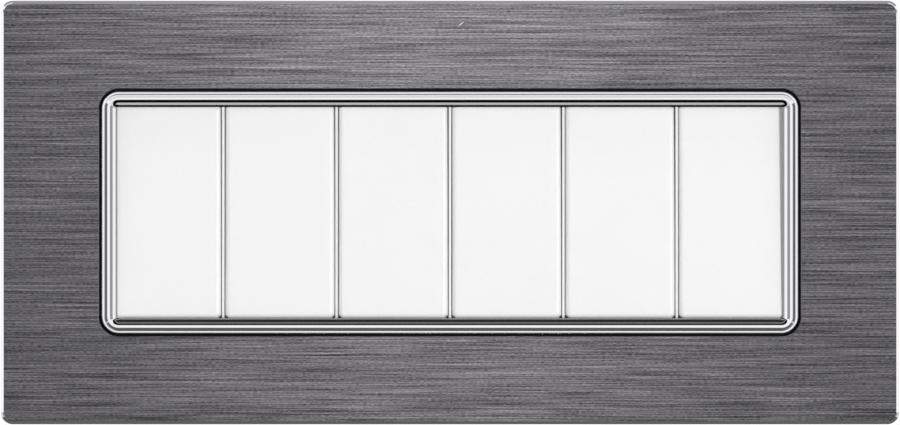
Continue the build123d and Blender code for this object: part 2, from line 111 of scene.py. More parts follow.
class ShaderGraph:
    """Node tree of one material with its Principled shader."""

    def __init__(self, name: str) -> None:
        """Starts an empty tree.

        Args:
            name: Name of the material.
        """
        self.material = bpy.data.materials.new(name)
        self.material.use_nodes = True
        self.tree = self.material.node_tree
        self.tree.nodes.clear()
        self.output = self.node("ShaderNodeOutputMaterial")
        self.shader = self.node("ShaderNodeBsdfPrincipled")
        self.link(self.shader.outputs["BSDF"], self.output.inputs["Surface"])

    def node(self, kind: str, **settings: object) -> bpy.types.Node:
        """Adds a node.

        Args:
            kind: Blender's name of the node type.
            settings: Attributes set on the new node.

        Returns:
            The new node.
        """
        made = self.tree.nodes.new(kind)
        for key, value in settings.items():
            setattr(made, key, value)
        return made

    def link(self, source: bpy.types.NodeSocket, target: bpy.types.NodeSocket) -> None:
        """Joins two sockets."""
        self.tree.links.new(source, target)

    def constant(self, socket: str, value: float | Colour) -> None:
        """Sets a value that is the same all over the surface.

        Args:
            socket: Name of the shader's input.
            value: A number, or a linear colour.
        """
        target = self.shader.inputs[socket]
        target.default_value = (*value, 1.0) if isinstance(value, tuple) else value

    def coordinates(self, scale: Point = (1.0, 1.0, 1.0), place: Point = (0.0, 0.0, 0.0),
                    turn: float = 0.0) -> bpy.types.NodeSocket:
        """Object coordinates, moved to a place, turned about Y and scaled.

        Args:
            scale: Pattern repeats per metre along each axis.
            place: Point that becomes the pattern's origin.
            turn: Angle of the pattern in the plane of the wall, in radians.

        Returns:
            The vector socket.
        """
        source = self.node("ShaderNodeTexCoord")
        mapping = self.node("ShaderNodeMapping", vector_type="TEXTURE")
        mapping.inputs["Location"].default_value = place
        mapping.inputs["Rotation"].default_value = (0.0, turn, 0.0)
        mapping.inputs["Scale"].default_value = tuple(1.0 / value for value in scale)
        self.link(source.outputs["Object"], mapping.inputs["Vector"])
        return mapping.outputs["Vector"]

    def noise(self, scale: Point, detail: float = 2.0) -> bpy.types.NodeSocket:
        """Fractal noise on object coordinates.

        Args:
            scale: Features per metre along each axis.
            detail: Number of finer layers.

        Returns:
            The noise value, about 0.5 on average.
        """
        made = self.node("ShaderNodeTexNoise")
        made.inputs["Scale"].default_value = 1.0
        made.inputs["Detail"].default_value = detail
        self.link(self.coordinates(scale), made.inputs["Vector"])
        return made.outputs["Fac"]

    def span(self, source: bpy.types.NodeSocket, low: float, high: float,
             start: float = 0.25, end: float = 0.75) -> bpy.types.NodeSocket:
        """Maps a value from one span to another, held at the ends.

        Args:
            source: Value to map.
            low: Result at the start of the span.
            high: Result at its end.
            start: Start of the source's span.
            end: End of the source's span.

        Returns:
            The mapped value.
        """
        made = self.node("ShaderNodeMapRange")
        made.inputs["From Min"].default_value = start
        made.inputs["From Max"].default_value = end
        made.inputs["To Min"].default_value = low
        made.inputs["To Max"].default_value = high
        self.link(source, made.inputs["Value"])
        return made.outputs["Result"]

    def combine(self, operation: str, first: bpy.types.NodeSocket,
                second: bpy.types.NodeSocket | float) -> bpy.types.NodeSocket:
        """Combines two values.

        Args:
            operation: Blender's name of the operation.
            first: First value.
            second: Second value, a socket or a number.

        Returns:
            The result.
        """
        made = self.node("ShaderNodeMath", operation=operation)
        self.link(first, made.inputs[0])
        if isinstance(second, bpy.types.NodeSocket):
            self.link(second, made.inputs[1])
        else:
            made.inputs[1].default_value = second
        return made.outputs["Value"]

    def blend(self, factor: bpy.types.NodeSocket, first: Colour | bpy.types.NodeSocket,
              second: Colour) -> bpy.types.NodeSocket:
        """Mixes two colours.

        Args:
            factor: Share of the second colour.
            first: Colour at 0, or a socket that gives it.
            second: Colour at 1.

        Returns:
            The mixed colour.
        """
        made = self.node("ShaderNodeMix", data_type="RGBA")
        colours = [socket for socket in made.inputs if socket.type == "RGBA"]
        self.link(factor, made.inputs["Factor"])
        if isinstance(first, tuple):
            colours[0].default_value = (*first, 1.0)
        else:
            self.link(first, colours[0])
        colours[1].default_value = (*second, 1.0)
        return next(socket for socket in made.outputs if socket.type == "RGBA")

    def relief(self, height: bpy.types.NodeSocket, depth: float, edge_radius: float = 0.0) -> None:
        """Bumps the surface, with softened edges where a radius is given.

        Args:
            height: Height pattern from 0 to 1.
            depth: Real depth of the pattern in metres.
            edge_radius: Rounding of the edges in metres.
        """
        bump = self.node("ShaderNodeBump")
        bump.inputs["Strength"].default_value = 1.0
        bump.inputs["Distance"].default_value = depth
        self.link(height, bump.inputs["Height"])
        if edge_radius > 0.0:
            rounding = self.node("ShaderNodeBevel", samples=EDGE_SAMPLES)
            rounding.inputs["Radius"].default_value = edge_radius
            self.link(rounding.outputs["Normal"], bump.inputs["Normal"])
        self.link(bump.outputs["Normal"], self.shader.inputs["Normal"])


@dataclass(frozen=True)
class BrushedFinish:
    """Dark metal brushed along X.

    Attributes:
        name: Name of the material.
        dark: Colour of the deep strokes.
        light: Colour of the bright strokes.
        roughness: Lowest and highest roughness.
        stroke: Length and width of a stroke in metres.
        stroke_share: Weight of the strokes.
        fleck: Length and width of the short flecks among them.
        fleck_share: Weight of the flecks.
        streak: Length and width of the broad faint streaks.
        streak_share: Weight of the streaks.
        contrast: Levels of the mixed pattern that turn fully dark and fully light.
        gain: Power of the pattern; over 1, the bright strokes stand out.
        depth: Depth of the strokes in metres.
        stretch: How far highlights are drawn out, from 0 to 1.
        stretch_turn: Direction in which they are, as a share of a full turn.
        scratch_place: Middle of the one slanting scratch.
        scratch_size: Its length and width.
        scratch_turn: Its angle above the horizontal.
        scratch_colour: Its colour.
        scratch_strength: Share of that colour in its middle.
        scratch_fade: Where its fading starts and ends, as squared shares of its half size.
    """

    name: str = "brushed dark metal"
    dark: Colour = (0.0, 0.0, 0.0)
    light: Colour = (0.314, 0.303, 0.3195)
    roughness: Pair = (0.3, 0.4)
    stroke: Pair = (14.0 * MM, 0.12 * MM)
    stroke_share: float = 0.5
    fleck: Pair = (0.75 * MM, 0.12 * MM)
    fleck_share: float = 0.38
    streak: Pair = (60.0 * MM, 0.4 * MM)
    streak_share: float = 0.12
    contrast: Pair = (0.27, 0.73)
    gain: float = 1.8
    depth: float = 0.006 * MM
    stretch: float = 0.8
    stretch_turn: float = 0.25
    scratch_place: Point = (2.2 * MM, 0.0, 37.4 * MM)
    scratch_size: Pair = (1.3 * MM, 0.12 * MM)
    scratch_turn: float = math.radians(38)
    scratch_colour: Colour = (0.8, 0.79, 0.8)
    scratch_strength: float = 0.8
    scratch_fade: Pair = (0.2, 1.0)

    def material(self) -> bpy.types.Material:
        """Builds the material.

        Returns:
            The finished material.
        """
        graph = ShaderGraph(self.name)
        fine = self.strokes(graph, self.stroke)
        mixed = graph.combine("MULTIPLY", fine, self.stroke_share)
        for size, weight in ((self.fleck, self.fleck_share), (self.streak, self.streak_share)):
            layer = graph.combine("MULTIPLY", self.strokes(graph, size), weight)
            mixed = graph.combine("ADD", mixed, layer)
        share = graph.combine("POWER", graph.span(mixed, 0.0, 1.0, *self.contrast), self.gain)
        tone = graph.blend(share, self.dark, self.light)
        colour = graph.blend(self.scratch(graph), tone, self.scratch_colour)
        graph.link(colour, graph.shader.inputs["Base Color"])
        graph.link(graph.span(fine, *self.roughness), graph.shader.inputs["Roughness"])
        graph.constant("Metallic", 1.0)
        graph.constant("Anisotropic", self.stretch)
        graph.constant("Anisotropic Rotation", self.stretch_turn)
        tangent = graph.node("ShaderNodeTangent", direction_type="UV_MAP")
        graph.link(tangent.outputs["Tangent"], graph.shader.inputs["Tangent"])
        graph.relief(mixed, self.depth)
        return graph.material

    @staticmethod
    def strokes(graph: ShaderGraph, size: Pair) -> bpy.types.NodeSocket:
        """Noise drawn out along X, to strokes of a length and a width."""
        length, width = size
        return graph.noise((1 / length, 1 / length, 1 / width))

    def scratch(self, graph: ShaderGraph) -> bpy.types.NodeSocket:
        """Mask of the slanting scratch.

        Args:
            graph: Material that the mask belongs to.

        Returns:
            The mask, 0 outside the scratch.
        """
        length, width = self.scratch_size
        place = graph.coordinates((2 / length, 1.0, 2 / width), self.scratch_place, -self.scratch_turn)
        split = graph.node("ShaderNodeSeparateXYZ")
        graph.link(place, split.inputs["Vector"])
        along, across = (graph.combine("POWER", split.outputs[axis], 2.0) for axis in ("X", "Z"))
        distance = graph.combine("ADD", along, across)
        return graph.span(distance, self.scratch_strength, 0.0, *self.scratch_fade)


@dataclass(frozen=True)
class PolishedFinish:
    """Bright metal with faint polishing marks.

    Attributes:
        name: Name of the material.
        colour: Colour of the reflection.
        roughness: Lowest and highest roughness.
        mark: Size of a polishing mark in metres.
        depth: Depth of the marks in metres.
    """

    name: str
    colour: Colour
    roughness: Pair = (0.03, 0.07)
    mark: float = 0.5 * MM
    depth: float = 0.00003 * MM

    def material(self) -> bpy.types.Material:
        """Builds the material.

        Returns:
            The finished material.
        """
        graph = ShaderGraph(self.name)
        marks = graph.noise((1 / self.mark,) * 3, FINE_DETAIL)
        graph.constant("Base Color", self.colour)
        graph.constant("Metallic", 1.0)
        graph.link(graph.span(marks, *self.roughness), graph.shader.inputs["Roughness"])
        graph.relief(marks, self.depth)
        return graph.material


@dataclass(frozen=True)
class MouldedFinish:
    """Moulded plastic with a fine spark-eroded grain and soft edges.

    Attributes:
        name: Name of the material.
        colour: Mean colour.
        roughness: Mean roughness.
        roughness_change: How far the roughness goes above and below that.
        grain: Size of the grain in metres.
        depth: Depth of the grain in metres.
        mottle: Share by which the colour varies.
        flow: Size of the moulding's flow marks in metres.
        edge_radius: Rounding of the edges in metres.
        specular: Strength of the reflection, 0.5 for plain plastic.
    """

    name: str
    colour: Colour
    roughness: float = 0.45
    roughness_change: float = 0.05
    grain: float = 0.25 * MM
    depth: float = 0.002 * MM
    mottle: float = 0.02
    flow: float = 9.0 * MM
    edge_radius: float = 0.12 * MM
    specular: float = 0.5

    def material(self) -> bpy.types.Material:
        """Builds the material.

        Returns:
            The finished material.
        """
        graph = ShaderGraph(self.name)
        grain = graph.noise((1 / self.grain,) * 3, FINE_DETAIL)
        flow = graph.noise((1 / self.flow,) * 3)
        low = tuple(value * (1 - self.mottle) for value in self.colour)
        high = tuple(min(1.0, value * (1 + self.mottle)) for value in self.colour)
        colour = graph.blend(graph.span(flow, 0.0, 1.0), low, high)
        graph.link(colour, graph.shader.inputs["Base Color"])
        smooth, rough = self.roughness - self.roughness_change, self.roughness + self.roughness_change
        graph.link(graph.span(grain, smooth, rough), graph.shader.inputs["Roughness"])
        graph.constant("Specular IOR Level", self.specular)
        graph.relief(grain, self.depth, self.edge_radius)
        return graph.material


@dataclass(frozen=True)
class RolledFinish:
    """Rolled strip or drawn wire with fine lines along its length.

    Attributes:
        name: Name of the material.
        dark: Colour in the lines.
        light: Colour between them.
        line: Length and width of a line in metres.
        roughness: Lowest and highest roughness.
        depth: Depth of the lines in metres.
        edge_radius: Rounding of the edges in metres.
    """

    name: str
    dark: Colour
    light: Colour
    line: Pair = (4.0 * MM, 0.08 * MM)
    roughness: Pair = (0.2, 0.38)
    depth: float = 0.002 * MM
    edge_radius: float = 0.08 * MM

    def material(self) -> bpy.types.Material:
        """Builds the material.

        Returns:
            The finished material.
        """
        graph = ShaderGraph(self.name)
        length, width = self.line
        lines = graph.noise((1 / width, 1 / length, 1 / length), FINE_DETAIL)
        colour = graph.blend(graph.span(lines, 0.0, 1.0), self.dark, self.light)
        graph.link(colour, graph.shader.inputs["Base Color"])
        graph.link(graph.span(lines, *self.roughness), graph.shader.inputs["Roughness"])
        graph.constant("Metallic", 1.0)
        graph.relief(lines, self.depth, self.edge_radius)
        return graph.material


# Mesh work


class Workpiece:
    """One new mesh in the making."""

    def __init__(self, name: str) -> None:
        """Starts an empty mesh.

        Args:
            name: Name of the finished piece.
        """
        self.name = name
        self.bm: BMesh = bmesh.new()

    def rounded_rectangle(self, width: float, height: float, radius: float, level: float,
                          segments: int = 16) -> list[BMEdge]:
        """Draws a loop of edges parallel to the wall.

        Args:
            width: Size along X.
            height: Size along Z.
            radius: Radius of the corners.
            level: Distance in front of the wall.
            segments: Edges in each corner.

        Returns:
            The edges of the loop.
        """
        place = Matrix.Translation((0.0, -level, 0.0)) @ Matrix.Rotation(QUARTER_TURN, 4, "X")
        size = Matrix.Diagonal((width, height, 1.0, 1.0))
        made = bmesh.ops.create_grid(self.bm, x_segments=1, y_segments=1, size=0.5, matrix=place @ size)
        face = made["verts"][0].link_faces[0]
        bmesh.ops.bevel(self.bm, geom=list(face.verts), offset=radius, offset_type="OFFSET",
                        segments=segments, profile=0.5, affect="VERTICES", clamp_overlap=False, material=-1)
        area = width * height - (4 - math.pi) * radius * radius
        face = next(item for item in self.bm.faces if abs(item.calc_area() - area) < SAME_AREA)
        edges = list(face.edges)
        bmesh.ops.delete(self.bm, geom=[face], context="FACES_ONLY")
        return edges

    def bevel(self, edges: Sequence[BMEdge], offset: float, segments: int) -> None:
        """Rounds or chamfers edges.

        Args:
            edges: Edges to take off.
            offset: Distance taken off each face.
            segments: Faces across the new surface.
        """
        bmesh.ops.bevel(self.bm, geom=list(edges), offset=offset, offset_type="OFFSET", segments=segments,
                        profile=0.5, affect="EDGES", clamp_overlap=True, material=-1)

    def run(self, edges: Sequence[BMEdge], step: Vector) -> list[BMEdge]:
        """Extrudes a section along a straight run.

        Args:
            edges: Section at the start.
            step: Vector of the run.

        Returns:
            The section at the end.
        """
        made = bmesh.ops.extrude_edge_only(self.bm, edges=list(edges))["geom"]
        verts = [item for item in made if isinstance(item, BMVert)]
        bmesh.ops.translate(self.bm, vec=step, verts=verts)
        ends = set(verts)
        return [item for item in made if isinstance(item, BMEdge) and ends.issuperset(item.verts)]

    def turn(self, edges: Sequence[BMEdge], centre: Vector, angle: float, steps: int,
             rise: Point = (0.0, 0.0, 0.0)) -> list[BMEdge]:
        """Spins a section about an axis along Y.

        Args:
            edges: Section at the start.
            centre: Point on the axis.
            angle: Angle to spin through.
            steps: Number of steps.
            rise: Shift of the section at each step.

        Returns:
            The section at the end.
        """
        verts = list({vert for edge in edges for vert in edge.verts})
        made = bmesh.ops.spin(self.bm, geom=verts + list(edges), cent=centre, axis=(0.0, 1.0, 0.0),
                              dvec=rise, angle=angle, steps=steps, use_merge=False, use_duplicate=False)
        return [item for item in made["geom_last"] if isinstance(item, BMEdge)]

    def close(self) -> None:
        """Merges doubles and turns every face outwards."""
        bmesh.ops.remove_doubles(self.bm, verts=self.bm.verts[:], dist=MERGE_DISTANCE)
        bmesh.ops.recalc_face_normals(self.bm, faces=self.bm.faces[:])

    def finish(self, body: str, nodes: Sequence[str], materials: Sequence[bpy.types.Material],
               sharp: float = math.radians(40)) -> bpy.types.Object:
        """Makes the object, which stands for CAD nodes and rides on their body.

        Args:
            body: CAD body that carries the piece.
            nodes: CAD nodes that the piece stands for.
            materials: Materials by index.
            sharp: Edges steeper than this angle stay sharp.

        Returns:
            The finished object.
        """
        mesh = bpy.data.meshes.new(self.name)
        self.bm.to_mesh(mesh)
        self.bm.free()
        for material in materials:
            mesh.materials.append(material)
        mesh.shade_smooth()
        mesh.set_sharp_from_angle(angle=sharp)
        made = bpy.data.objects.new(self.name, mesh)
        bpy.context.scene.collection.objects.link(made)
        weighted = made.modifiers.new("flat faces stay flat", "WEIGHTED_NORMAL")
        weighted.keep_sharp = True
        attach(made, body)
        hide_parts(*nodes)
        log.info("%s: %d faces on %s", self.name, len(mesh.polygons), body)
        return made


def dress(node: str, material: bpy.types.Material) -> None:
    """Gives a CAD node its finish.

    Args:
        node: Name of the node.
        material: Its material.
    """
    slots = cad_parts[node].data.materials
    slots.clear()
    slots.append(material)
    log.info("%s: %s", node, material.name)


# Sub-assemblies


@dataclass
class CoverSheet:
    """Brushed front sheet with a polished bevel and the window for the bezel.

    Attributes:
        corner: Radius of the outer corners.
        bevel: Size of the outer bevel.
        window: Width and height of the window.
        window_corner: Radius of the window's corners.
        edge_break: Rounding of the sharp edges.
        sharp_angle: Edges steeper than this are rounded.
        slant: Range of the forward part of a normal on the bevel.
        face_finish: Finish of the sheet.
        bevel_finish: Finish of the bevel.
    """

    corner: float = 2.4 * MM
    bevel: float = 0.62 * MM
    window: Pair = (139.2 * MM, 49.2 * MM)
    window_corner: float = 4.0 * MM
    edge_break: float = 0.04 * MM
    sharp_angle: float = math.radians(30)
    slant: Pair = (0.02, 0.9)
    face_finish: BrushedFinish = BrushedFinish()
    bevel_finish: PolishedFinish = PolishedFinish("polished bevel", (0.93, 0.925, 0.935))

    def build(self) -> bpy.types.Object:
        """Builds the sheet as one closed mesh.

        Returns:
            The finished piece.
        """
        low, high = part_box("cover_sheet")
        size = high - low
        front = -low.y
        work = Workpiece("front_sheet")
        outer = work.rounded_rectangle(size.x, size.z, self.corner, front)
        inner = work.rounded_rectangle(*self.window, self.window_corner, front)
        skin = bmesh.ops.bridge_loops(work.bm, edges=outer + inner)["faces"]
        grown = bmesh.ops.extrude_face_region(work.bm, geom=skin)["geom"]
        back = [item for item in grown if isinstance(item, BMVert)]
        bmesh.ops.translate(work.bm, vec=(0.0, size.y, 0.0), verts=back)
        work.close()
        self.break_edges(work, front)
        self.mark_bevel(work, front)
        self.add_grain_map(work)
        materials = [self.face_finish.material(), self.bevel_finish.material()]
        return work.finish("plate", ["cover_sheet"], materials)

    def break_edges(self, work: Workpiece, front: float) -> None:
        """Cuts the outer bevel and softens it and the window's edge.

        Args:
            work: The sheet.
            front: Level of its face.
        """
        face_edges = [edge for edge in work.bm.edges
                      if max(vert.co.y for vert in edge.verts) < -front + NEAR]
        rim = [edge for edge in face_edges if all(self.outside(vert.co) for vert in edge.verts)]
        lip = [edge for edge in face_edges if not any(self.outside(vert.co) for vert in edge.verts)]
        work.bevel(rim, self.bevel, segments=1)
        work.bevel(lip, self.edge_break, segments=3)
        sharp = [edge for edge in work.bm.edges
                 if all(self.outside(vert.co) for vert in edge.verts)
                 and len(edge.link_faces) == 2 and edge.calc_face_angle() > self.sharp_angle
                 and min(vert.co.y for vert in edge.verts) < -front + self.bevel + NEAR]
        work.bevel(sharp, self.edge_break, segments=2)

    def outside(self, point: Vector) -> bool:
        """Whether a point lies outside the window."""
        half_width, half_height = (side / 2 + NEAR for side in self.window)
        return abs(point.x) > half_width or abs(point.z) > half_height

    def mark_bevel(self, work: Workpiece, front: float) -> None:
        """Gives the bevel its own material.

        Args:
            work: The sheet.
            front: Level of its face.
        """
        least, most = self.slant
        for face in work.bm.faces:
            middle = face.calc_center_median()
            slanting = least < -face.normal.y < most
            if slanting and self.outside(middle) and middle.y < -front + self.bevel:
                face.material_index = 1

    @staticmethod
    def add_grain_map(work: Workpiece) -> None:
        """Lays a map along X and Z, which gives the strokes their direction.

        Args:
            work: The sheet.
        """
        layer = work.bm.loops.layers.uv.new("grain")
        for face in work.bm.faces:
            for loop in face.loops:
                loop[layer].uv = (loop.vert.co.x, loop.vert.co.z)


@dataclass
class BezelRing:
    """Chrome ring round the keys: outer bead, groove, crown, round slope to the lip and snap tabs behind.

    Attributes:
        outer: Width and height outside.
        corner: Radius of the outer corners.
        width: Width of the section.
        leg: Width of the seat.
        leg_height: Height of the lip's underside over the seat.
        lip_edge: Thickness of the lip's edge.
        bead: Width of the bead.
        bead_flank: Width of each of its flanks.
        bead_rise: Height of the bead over the groove.
        groove_drop: Depth of the groove under the crown.
        shoulder: Width of the slope between groove and crown.
        shoulder_angle: Angle of that slope.
        slope_span: Width of the inner slope.
        slope_angle: Angle of the inner slope at the crown; it is steepest halfway.
        lip_angle: Its angle at the lip.
        arc_share: Share of the inner slope that is curved.
        soft: Rounding of the section's edges.
        bead_soft: Rounding of the bead.
        round_steps: Steps in each rounding of the section.
        corner_steps: Steps in each corner.
        tab_places: Places of the snap tabs along X.
        tab_middle: Their distance from the row's middle line.
        tab_size: Width and thickness of a tab.
        tab_barb: Reach of its barb.
        skin: Thickness of the carrier's skin and the play behind it.
        tab_reach: Length of the tab behind the skin.
        chrome: Finish of the ring.
    """

    outer: Pair = (138.0 * MM, 48.0 * MM)
    corner: float = 3.4 * MM
    width: float = 3.1 * MM
    leg: float = 1.0 * MM
    leg_height: float = 1.75 * MM
    lip_edge: float = 0.45 * MM
    bead: float = 0.72 * MM
    bead_flank: float = 0.16 * MM
    bead_rise: float = 0.25 * MM
    groove_drop: float = 0.95 * MM
    shoulder: float = 0.45 * MM
    shoulder_angle: float = math.radians(41)
    slope_span: float = 1.45 * MM
    slope_angle: float = math.radians(27)
    lip_angle: float = math.radians(33)
    arc_share: float = 0.85
    soft: float = 0.06 * MM
    bead_soft: float = 0.11 * MM
    round_steps: int = 10
    corner_steps: int = 24
    tab_places: tuple[float, ...] = (-50.625 * MM, -16.875 * MM, 16.875 * MM, 50.625 * MM)
    tab_middle: float = 23.4 * MM
    tab_size: Pair = (6.0 * MM, 0.6 * MM)
    tab_barb: float = 0.35 * MM
    skin: float = 1.75 * MM
    tab_reach: float = 0.9 * MM
    chrome: PolishedFinish = PolishedFinish("chrome plate", (0.87, 0.87, 0.885))

    def build(self) -> bpy.types.Object:
        """Sweeps the section round the window and adds the tabs.

        Returns:
            The finished piece.
        """
        crown = -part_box("bezel_ring")[0].y
        seat = -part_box("cover_sheet")[1].y
        run_x, run_z = (side - 2 * self.corner for side in self.outer)
        work = Workpiece("chrome_bezel")
        start = Vector((-run_x / 2, 0.0, self.outer[1] / 2))
        edges = self.section(work, start, seat, crown)
        pivots = [(1, 1), (1, -1), (-1, -1), (-1, 1)]
        runs = [(run_x, 0.0), (0.0, -run_z), (-run_x, 0.0), (0.0, run_z)]
        for (side_x, side_z), (step_x, step_z) in zip(pivots, runs):
            edges = work.run(edges, Vector((step_x, 0.0, step_z)))
            centre = Vector((side_x * run_x / 2, 0.0, side_z * run_z / 2))
            edges = work.turn(edges, centre, QUARTER_TURN, self.corner_steps)
        for place in self.tab_places:
            for side in (1, -1):
                self.add_tab(work, place, side, seat)
        work.close()
        return work.finish("plate", ["bezel_ring"], [self.chrome.material()])

    def section(self, work: Workpiece, start: Vector, seat: float, crown: float) -> list[BMEdge]:
        """Draws the rounded section across the top run.

        Args:
            work: The ring.
            start: Outer edge of the top run at its left end.
            seat: Level of the seat.
            crown: Level of the crown.

        Returns:
            The edges of the section.
        """
        groove = crown - self.groove_drop
        bead = groove + self.bead_rise
        lip = seat + self.leg_height
        edge = lip + self.lip_edge
        drop = crown - edge
        crown_end = self.width - self.slope_span
        # Three straight stretches with round corners, the steep one as long as the other two
        mean = math.atan2(drop, self.slope_span)
        ends = (self.slope_angle, self.lip_angle)
        steep = mean + math.asin(sum(math.sin(mean - angle) for angle in ends) / 2)
        tangent = self.slope_span / (2 * math.cos(steep) + sum(math.cos(angle) for angle in ends))
        arc = self.arc_share * tangent
        profile = [
            (0.0, seat, 0.0),
            (0.0, groove, 0.0),
            (self.bead_flank, bead, self.bead_soft),
            (self.bead - self.bead_flank, bead, self.bead_soft),
            (self.bead, groove, 0.0),
            (self.bead, crown - self.shoulder * math.tan(self.shoulder_angle), 0.0),
            (self.bead + self.shoulder, crown, self.soft),
            (crown_end, crown, self.soft),
            (crown_end + tangent * math.cos(self.slope_angle),
             crown - tangent * math.sin(self.slope_angle), arc),
            (self.width - tangent * math.cos(self.lip_angle),
             edge + tangent * math.sin(self.lip_angle), arc),
            (self.width, edge, 0.0),
            (self.width, lip, 0.0),
            (self.leg, lip, 0.0),
            (self.leg, seat, 0.0),
        ]
        verts = [work.bm.verts.new((start.x, -level, start.z - inward)) for inward, level, _ in profile]
        work.bm.faces.new(verts)
        for vert, (_, _, radius) in zip(verts, profile):
            if radius > 0.0:
                bmesh.ops.bevel(work.bm, geom=[vert], offset=radius, offset_type="OFFSET",
                                segments=self.round_steps, profile=0.5, affect="VERTICES",
                                clamp_overlap=False, material=-1)
        edges = work.bm.edges[:]
        bmesh.ops.delete(work.bm, geom=work.bm.faces[:], context="FACES_ONLY")
        return edges

    def add_tab(self, work: Workpiece, place: float, side: int, seat: float) -> None:
        """Adds a snap tab under the seat.

        Args:
            work: The ring.
            place: Its middle along X.
            side: 1 above the row, -1 below it.
            seat: Level of the seat.
        """
        width, thickness = self.tab_size
        inner = self.tab_middle - thickness / 2
        outer = self.tab_middle + thickness / 2
        barb = seat - self.skin
        outline = [
            (inner, seat),
            (outer, seat),
            (outer, barb),
            (outer + self.tab_barb, barb),
            (outer, barb - self.tab_reach),
            (inner, barb - self.tab_reach),
        ]
        verts = [work.bm.verts.new((place - width / 2, -level, side * height)) for height, level in outline]
        face = work.bm.faces.new(verts)
        grown = bmesh.ops.extrude_face_region(work.bm, geom=[face], use_keep_orig=True)["geom"]
        moved = [item for item in grown if isinstance(item, BMVert)]
        bmesh.ops.translate(work.bm, vec=(width, 0.0, 0.0), verts=moved)


@dataclass
class ModuleFinishes:
    """Materials that all six modules share.

    Attributes:
        key: Material of the keys.
        housing: Material of the housings.
        base: Material of the bases.
        plunger: Material of the plungers.
        brass: Material of the contact levers and terminals.
        wire: Material of the coils.
    """

    key: bpy.types.Material
    housing: bpy.types.Material
    base: bpy.types.Material
    plunger: bpy.types.Material
    brass: bpy.types.Material
    wire: bpy.types.Material


@dataclass
class SwitchModule:
    """One rocker module: key, plunger with its coil, see-saw contact, terminals, housing and base.

    Attributes:
        number: Place in the row, from the left.
        finishes: Materials of its pieces.
        tilt: Angle of the key at rest.
        wire: Diameter of the coil's wire.
        turns: Turns of the coil.
        steps_per_turn: Steps in each turn.
        wire_sides: Sides of the wire's section.
    """

    number: int
    finishes: ModuleFinishes
    tilt: float = math.radians(-2.2)
    wire: float = 0.45 * MM
    turns: int = 5
    steps_per_turn: int = 28
    wire_sides: int = 10

    def build(self) -> None:
        """Dresses the CAD nodes and winds the coil."""
        dress(f"key_{self.number}", self.finishes.key)
        dress(f"housing_{self.number}", self.finishes.housing)
        dress(f"base_{self.number}", self.finishes.base)
        dress(f"plunger_{self.number}", self.finishes.plunger)
        for name in ("contact_lever", "load_terminal", "common_terminal"):
            dress(f"{name}_{self.number}", self.finishes.brass)
        self.wind_coil()

    def wind_coil(self) -> None:
        """Winds a round-wire coil where the CAD coil stands."""
        node = f"spring_{self.number}"
        low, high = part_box(node)
        centre = (low + high) / 2
        radius = (high.x - low.x - 2 * self.wire) / 2
        length = high.y - low.y - 2 * self.wire
        steps = self.turns * self.steps_per_turn
        work = Workpiece(f"coil_{self.number}")
        place = Matrix.Translation((centre.x + radius, centre.y - length / 2, centre.z))
        bmesh.ops.create_circle(work.bm, cap_ends=False, segments=self.wire_sides, radius=self.wire / 2,
                                matrix=place)
        first = work.bm.edges[:]
        last = work.turn(first, centre, 2 * math.pi * self.turns, steps, (0.0, length / steps, 0.0))
        for loop in (first, last):
            bmesh.ops.edgeloop_fill(work.bm, edges=loop)
        lean = Matrix.Rotation(self.tilt, 3, "X")
        bmesh.ops.rotate(work.bm, cent=centre, matrix=lean, verts=work.bm.verts[:])
        work.close()
        work.finish(f"rocker_{self.number}", [node], [self.finishes.wire])


@dataclass
class WallParts:
    """Pieces behind the sheet: moulded carrier, support frame and the leaves of the wire clamps.

    Attributes:
        carrier: Finish of the carrier.
        support: Finish of the support frame.
        leaf: Finish of the leaves.
    """

    carrier: MouldedFinish = MouldedFinish("black moulding", (0.01, 0.01, 0.011), roughness=0.55,
                                           mottle=0.15, specular=0.08)
    support: MouldedFinish = MouldedFinish("grey moulding", (0.2, 0.2, 0.21), roughness=0.5, mottle=0.06)
    leaf: RolledFinish = RolledFinish("spring strip", (0.42, 0.42, 0.43), (0.62, 0.62, 0.62))

    def build(self) -> None:
        """Dresses the CAD nodes."""
        dress("plate_carrier", self.carrier.material())
        dress("support_frame", self.support.material())
        dress("clamp_springs", self.leaf.material())


@dataclass(frozen=True)
class Card:
    """Glowing card, no lamp, that only mirrors see; its glow is a painted reflection in the chrome and the
    bevel.

    Attributes:
        name: Name of the object.
        level: Strength of its glow, which the chrome and the bevel show as a painted reflection.
        distance: Distance above the plate's middle, or to the right of it for an upright card.
        span: Its front and back edges along Y.
        length: Its size along the plate's edge.
        upright: Whether it stands beside the plate.
    """

    name: str
    level: float
    distance: float
    span: Pair
    length: float = 0.6
    upright: bool = False

    def material(self) -> bpy.types.Material:
        """Builds the material.

        Returns:
            A face that glows evenly though it is no lamp, without a gloss.
        """
        graph = ShaderGraph(self.name)
        graph.constant("Base Color", (0.0, 0.0, 0.0))
        graph.constant("Specular IOR Level", 0.0)
        graph.constant("Emission Color", (1.0, 1.0, 1.0))
        graph.constant("Emission Strength", self.level)
        return graph.material

    def matrix(self) -> Matrix:
        """Place of the card.

        Returns:
            The transform of a square of side 1.
        """
        front, back = self.span
        place = Matrix.Translation((0.0, (front + back) / 2, self.distance))
        stand = Matrix.Rotation(QUARTER_TURN if self.upright else 0.0, 4, "Y")
        return stand @ place @ Matrix.Diagonal((self.length, back - front, 1.0, 1.0))


